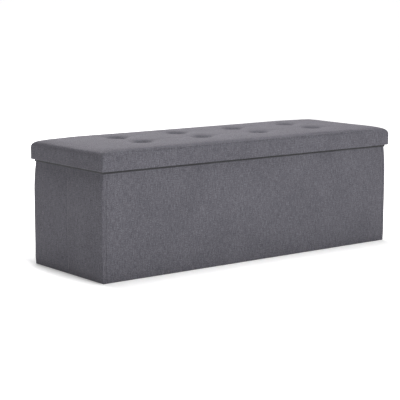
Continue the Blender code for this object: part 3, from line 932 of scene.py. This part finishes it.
def stitch_mesh(name, lines, pitch=3.8 * MM, length=2.8 * MM):
    """Rows of stitches. Each line is (points that it runs through, outward direction)."""
    points, faces = [], []
    angles = np.linspace(0, 2 * math.pi, STITCH_SIDES, endpoint=False)
    for route, out in lines:
        route, out = np.array(route, float), np.array(out, float)
        run = np.concatenate([[0.0], np.cumsum(np.linalg.norm(np.diff(route, axis=0), axis=1))])
        for start in np.arange(0.0, run[-1] - length, pitch):
            first = len(points)
            head, tail = (
                np.array([np.interp(start + reach, run, route[:, axis]) for axis in range(3)])
                for reach in (0, length)
            )
            across = np.cross((tail - head) / length, out)
            for share, width in STITCH_RINGS:
                middle = head + (tail - head) * share + out * (0.15 * MM * math.sin(math.pi * share))
                for angle in angles:
                    spoke = across * math.cos(angle) + out * math.sin(angle)
                    points.append(middle + spoke * THREAD * width)
            faces += grid_faces(len(STITCH_RINGS), STITCH_SIDES, first, closed=True)
            last = first + (len(STITCH_RINGS) - 1) * STITCH_SIDES
            faces.append(tuple(range(first, first + STITCH_SIDES)))
            faces.append(tuple(range(last + STITCH_SIDES - 1, last - 1, -1)))
    return mesh_of(name, points, faces)


def end_fold_route(y, seed):
    """A line up the right end wall, on the surface of its cloth."""
    heights = spaced(15 * MM, LID_EDGE_Z - 1 * MM, 8.1 * MM)
    outline = end_outline(0.0)
    off_face = outline[:, 0] < END_WALL_X - 0.1 * MM
    nearest = np.argmin(np.abs(outline[:, 1] - y) + off_face)
    stand = [END_WALL_X + end_relief(outline, z, seed)[nearest] + flare(END_WALL_X, z) for z in heights]
    return [(x + 0.1 * MM, y, z) for x, z in zip(stand, heights)]


def make_stitches():
    """Topstitching of the facing inside the rim, and of the fold in each end wall."""
    z = FACING_LOW + 5 * MM
    x, y = END_WALL_X - WALL_DEPTH, LONG_WALL_Y - WALL_DEPTH
    along, across = x - STITCH_END, y - STITCH_END
    lines = [([(-along, side * y, z), (along, side * y, z)], (0, -side, 0)) for side in (-1, 1)]
    lines += [([(side * x, -across, z), (side * x, across, z)], (-side, 0, 0)) for side in (-1, 1)]
    mesh = stitch_mesh("rim_topstitching", lines)
    add_piece(mesh, "body", "grey_fabric", material=GREY_THREAD)
    right, left = (
        stitch_mesh(f"{end}_end_fold_stitching", [(end_fold_route(FOLD_STITCH_Y, seed), (1, 0, 0))])
        for end, seed in (("right", RIGHT_SEED), ("left", LEFT_SEED))
    )
    for mesh in (right, turned(left)):
        add_piece(mesh, "body", "grey_fabric", material=GREY_THREAD)


# ---- linings

RIPPLE_FADE = 30 * MM  # from a lining's edge in to its full ripples


def lining_mesh(name, node, axis, side, ripple, seed):
    """A lining sheet with shallow ripples on the side that shows, which looks along axis."""
    low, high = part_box(node)
    first, second = [a for a in range(3) if a != axis]
    u = spaced(low[first], high[first], LINING_STEP)
    v = spaced(low[second], high[second], LINING_STEP)
    grid_u, grid_v = np.meshgrid(u, v, indexing="ij")
    points = np.zeros((grid_u.size, 3))
    points[:, first], points[:, second] = grid_u.ravel(), grid_v.ravel()
    from_edge = np.minimum.reduce([
        points[:, first] - low[first], high[first] - points[:, first],
        points[:, second] - low[second], high[second] - points[:, second],
    ])
    rise = ripple * (0.5 + 0.5 * waves(points, 70 * MM, seed)) * ease(from_edge / RIPPLE_FADE)
    face = high[axis] if side > 0 else low[axis]
    points[:, axis] = face + side * rise
    mesh = mesh_of(name, points, grid_faces(len(u), len(v)))
    mesh.update()
    if mesh.polygons[0].normal[axis] * side < 0:
        mesh.flip_normals()
    return with_modifiers(mesh, thickness((high[axis] - low[axis]) * 0.95))


def make_linings():
    walls = (
        ("front_lining", 1, 1, 0.9 * MM), ("back_lining", 1, -1, 0.5 * MM),
        ("left_end_lining", 0, 1, 1.2 * MM), ("right_end_lining", 0, -1, 1.2 * MM),
    )
    for seed, (node, axis, side, ripple) in enumerate(walls, 20):
        mesh = lining_mesh(f"{node}_cloth", node, axis, side, ripple, seed)
        add_piece(mesh, "body", "black_lining", node)
    mesh = lining_mesh("lid_lining_cloth", "lid_lining", 2, -1, 0.0, 30)
    add_piece(mesh, "lid", "black_lining", "lid_lining")


# ---- floor flap

SLEEVE_ROUND = 2.2 * MM  # of its edges
SLEEVE_CORNER = 3 * MM
SLEEVE_STITCH_INSET = 7 * MM
LOOP_STEP = 4 * MM
LOOP_RADIUS = 1.3 * MM  # of the bend at the pull loop's free end
LOOP_GAP = 0.7 * MM  # between the ribbon's layers where they are sewn down
HINGE_BEND = 2.4 * MM
HINGE_OVERLAP = 24 * MM  # of the hinge cloth on the flap


def sleeve_mesh():
    """The floor flap's cloth sleeve: a thin closed case with rounded edges."""
    low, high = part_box("floor_sleeve")
    middle = (low + high) / 2
    half = (high - low) / 2
    panel = Panel(half.x - SLEEVE_ROUND, half.y - SLEEVE_ROUND, SLEEVE_CORNER, LINING_STEP)
    rings = []
    for angle in np.radians([30, 60, 90, 120, 150]):
        inset = SLEEVE_ROUND * (1 - math.sin(angle))
        radius = SLEEVE_CORNER + SLEEVE_ROUND - inset
        rings.append(panel.ring(half.x - inset, half.y - inset, radius, middle.z + half.z * math.cos(angle)))
    x, y = panel.plan(half.x - SLEEVE_ROUND, half.y - SLEEVE_ROUND, SLEEVE_CORNER)
    top = points_at(x, y, high.z)
    base = points_at(x, y, low.z)
    points = np.vstack([top, *rings, base])
    points[:, :2] += middle[:2]
    return panel.mesh("floor_sleeve_cloth", points, closed=True)


def strip_mesh(name, path, low_x, high_x, thick, step):
    """A flat band that follows a path of (y, z) points, across from low_x to high_x."""
    x = spaced(low_x, high_x, step)
    rows = [points_at(x, y, z) for y, z in path]
    return with_modifiers(mesh_of(name, rows, grid_faces(len(rows), len(x))), thickness(thick))


def make_flap():
    add_piece(sleeve_mesh(), "floor_flap", "black_lining", "floor_sleeve")
    low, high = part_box("floor_sleeve")
    x, z, up = high.x - SLEEVE_STITCH_INSET, high.z, (0, 0, 1)
    front = low.y + SLEEVE_STITCH_INSET
    near, far = front + STITCH_END, high.y - SLEEVE_STITCH_INSET - 20 * MM
    lines = [([(-x, front, z), (x, front, z)], up)]
    lines += [([(side * x, near, z), (side * x, far, z)], up) for side in (-1, 1)]
    mesh = stitch_mesh("floor_sleeve_stitching", lines)
    add_piece(mesh, "floor_flap", "black_lining", material=BLACK_THREAD)
    make_pull_loop()
    make_hinge_strip()


def make_pull_loop():
    """A folded ribbon sewn to the flap's front edge, to lift it by."""
    low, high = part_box("floor_pull_tab")
    base = low.z + RIBBON_THICK
    path = [(y, base) for y in spaced(low.y, high.y - LOOP_STEP, LOOP_STEP)]
    for angle in np.radians([-60, -30, 0, 30, 60]):
        y = high.y - 2.2 * MM + 1.8 * LOOP_RADIUS * math.cos(angle)
        path.append((y, base + LOOP_RADIUS * (1 + math.sin(angle))))
    for y in spaced(high.y - LOOP_STEP, low.y, LOOP_STEP):
        share = (y - low.y) / (high.y - low.y)
        path.append((y, base + LOOP_GAP + (2 * LOOP_RADIUS - LOOP_GAP) * float(ease(share * 1.2))))
    mesh = strip_mesh("floor_pull_loop", path[::-1], low.x, high.x, RIBBON_THICK, 3 * MM)
    add_piece(mesh, "floor_flap", "black_ribbon", "floor_pull_tab")
    z = base + LOOP_GAP + 0.05 * MM
    left, right = low.x + 2 * MM, high.x - 2 * MM
    near, far = low.y + 2 * MM, low.y + 13 * MM
    corners = [(left, near, z), (right, near, z), (right, far, z + 0.3 * MM), (left, far, z + 0.3 * MM)]
    sides = [(0, 1), (1, 2), (2, 3), (3, 0), (0, 2), (1, 3)]
    lines = [([corners[first], corners[second]], (0, 0, 1)) for first, second in sides]
    mesh = stitch_mesh("pull_loop_stitching", lines, 2.4 * MM, 1.8 * MM)
    add_piece(mesh, "floor_flap", "black_ribbon", material=GREY_THREAD)


def make_hinge_strip():
    """Cloth that joins the flap to the back wall, bent over onto the flap."""
    low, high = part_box("flap_hinge_strip")
    flap_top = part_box("floor_sleeve")[1].z
    path = [(low.y, z) for z in spaced(high.z, low.z + 3 * MM, 5 * MM)]
    for angle in np.radians([15, 30, 45, 60, 75]):
        y = low.y - HINGE_BEND * (1 - math.cos(angle))
        path.append((y, flap_top + RIBBON_THICK + HINGE_BEND * (1 - math.sin(angle))))
    flat_z = flap_top + RIBBON_THICK + 0.05 * MM
    path += [(y, flat_z) for y in spaced(low.y - HINGE_BEND, low.y - HINGE_OVERLAP, 3 * MM)]
    mesh = strip_mesh("flap_hinge_cloth", path, low.x, high.x, RIBBON_THICK, LINING_STEP)
    strip = add_piece(mesh, None, "black_lining", "flap_hinge_strip")
    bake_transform(strip)
    y = low.y - HINGE_OVERLAP + 4 * MM
    line = [(low.x + 6 * MM, y, flat_z), (high.x - 6 * MM, y, flat_z)]
    mesh = stitch_mesh("hinge_strip_stitching", [(line, (0, 0, 1))])
    add_piece(mesh, "floor_flap", "black_lining", material=BLACK_THREAD)


# ---- studio

CAMERA_PLACE = (-2.538, -3.164, 0.803)
CAMERA_TURN = 37.96, 8.985, 0.09  # degrees: to the right of +Y, down, and rolled
LENS = 118.9  # millimetres
SENSOR = 36
WORLD_BAND = 0.03, 0.16  # from the horizon's shade to the zenith's, by the height of the direction
WORLD_HORIZON = 0.45
WORLD_ZENITH = 0.10
FLOOR_HALF_SIZE = 300
FLOOR_SHADES = 0.80, 0.84
# Painted light on the floor: a glow, weak next to the bench as a painted narrow shadow, white further out.
FLOOR_GLOW_NEAR, FLOOR_GLOW_FAR = 0.18, 0.92
FLOOR_GLOW_REACH = 0.30  # metres past the bench's sides, to the full glow
END_GLOW_RATE = 4.0  # how much faster it grows past the ends
SOFTBOXES = (  # name, place, target, size and watts
    ("softbox_overhead", (0.2, -0.2, 2.3), (0, 0, 0.2), (2.6, 1.8), 51),
    ("softbox_behind", (1.2, 3.2, 1.7), (0, 0, 0.3), (2.4, 1.2), 74),
    ("fill_front", (-0.2, -2.4, 1.5), (-0.2, 0, 0.2), (0.9, 0.9), 26),
)


def add_camera():
    data = bpy.data.cameras.new("camera")
    data.lens = LENS
    data.sensor_width = SENSOR
    camera = bpy.data.objects.new("camera", data)
    turn, down, roll = (math.radians(angle) for angle in CAMERA_TURN)
    pose = Matrix.Rotation(-turn, 4, "Z") @ Matrix.Rotation(math.pi / 2 - down, 4, "X")
    camera.matrix_world = Matrix.Translation(CAMERA_PLACE) @ pose @ Matrix.Rotation(roll, 4, "Z")
    link(camera)
    bpy.context.scene.camera = camera


def add_light(name, place, target, size, power):
    data = bpy.data.lights.new(name, "AREA")
    data.shape = "RECTANGLE"
    data.size, data.size_y = size
    data.energy = power
    light = bpy.data.objects.new(name, data)
    aim = (Vector(target) - Vector(place)).to_track_quat("-Z", "Y")
    light.matrix_world = Matrix.Translation(place) @ aim.to_matrix().to_4x4()
    light.visible_camera = False
    link(light)


def add_world():
    """Studio surround: white near the horizon, dimmer overhead."""
    world = bpy.data.worlds.new("studio_world")
    bpy.context.scene.world = world
    world.use_nodes = True
    tree = world.node_tree
    coordinates = tree.nodes.new("ShaderNodeTexCoord")
    parts = tree.nodes.new("ShaderNodeSeparateXYZ")
    ramp = tree.nodes.new("ShaderNodeValToRGB")
    elements = ramp.color_ramp.elements
    elements[0].position, elements[1].position = WORLD_BAND
    elements[0].color = (*[WORLD_HORIZON] * 3, 1.0)
    elements[1].color = (*[WORLD_ZENITH] * 3, 1.0)
    tree.links.new(coordinates.outputs["Generated"], parts.inputs[0])
    tree.links.new(parts.outputs["Z"], ramp.inputs[0])
    tree.links.new(ramp.outputs["Color"], tree.nodes["Background"].inputs["Color"])


def add_floor():
    """A plain pale floor with painted light: its glow is weak beside the bench, painting a narrow shadow
    round its base, and white far from it, so it has no visible horizon.
    """
    n = Nodes("studio_floor")
    x, y, _ = n.split(n.place())
    past_end, past_side = (
        n.math("MAXIMUM", n.math("SUBTRACT", n.math("ABSOLUTE", place), half), 0.0)
        for place, half in ((x, END_WALL_X), (y, LONG_WALL_Y))
    )
    away = n.weighted((past_end, END_GLOW_RATE), (past_side, 1.0))
    # Painted light: the glow grows with distance from the bench, leaving a painted shadow round its base.
    glow = n.spread(away, FLOOR_GLOW_NEAR, FLOOR_GLOW_FAR, FLOOR_GLOW_REACH)
    drift = n.noise(n.place(), 0.7, 2.0)
    n.fill(n.shader, Emission_Strength=glow, Emission_Color=(1, 1, 1, 1))
    low, high = [(shade,) * 3 for shade in FLOOR_SHADES]
    colour = n.ramp(drift, (0.3, low), (0.7, high))
    material = n.finish(colour, n.spread(drift, 0.7, 0.8), n.bump(drift, 1 * MM, 0.1), Specular_IOR_Level=0.1)
    corners = [(x * FLOOR_HALF_SIZE, y * FLOOR_HALF_SIZE, 0) for x, y in ((-1, -1), (1, -1), (1, 1), (-1, 1))]
    mesh = mesh_of("studio_floor", corners, [(0, 1, 2, 3)])
    mesh.materials.append(material)
    floor = bpy.data.objects.new("studio_floor", mesh)
    link(floor)


def light_studio():
    add_world()
    for softbox in SOFTBOXES:
        add_light(*softbox)
    bpy.context.scene.view_settings.view_transform = "Standard"


paint_frame()
make_cushion()
make_painted_shadow_strip()
make_buttons()
make_walls()
make_stitches()
make_linings()
make_flap()
add_floor()
light_studio()
add_camera()
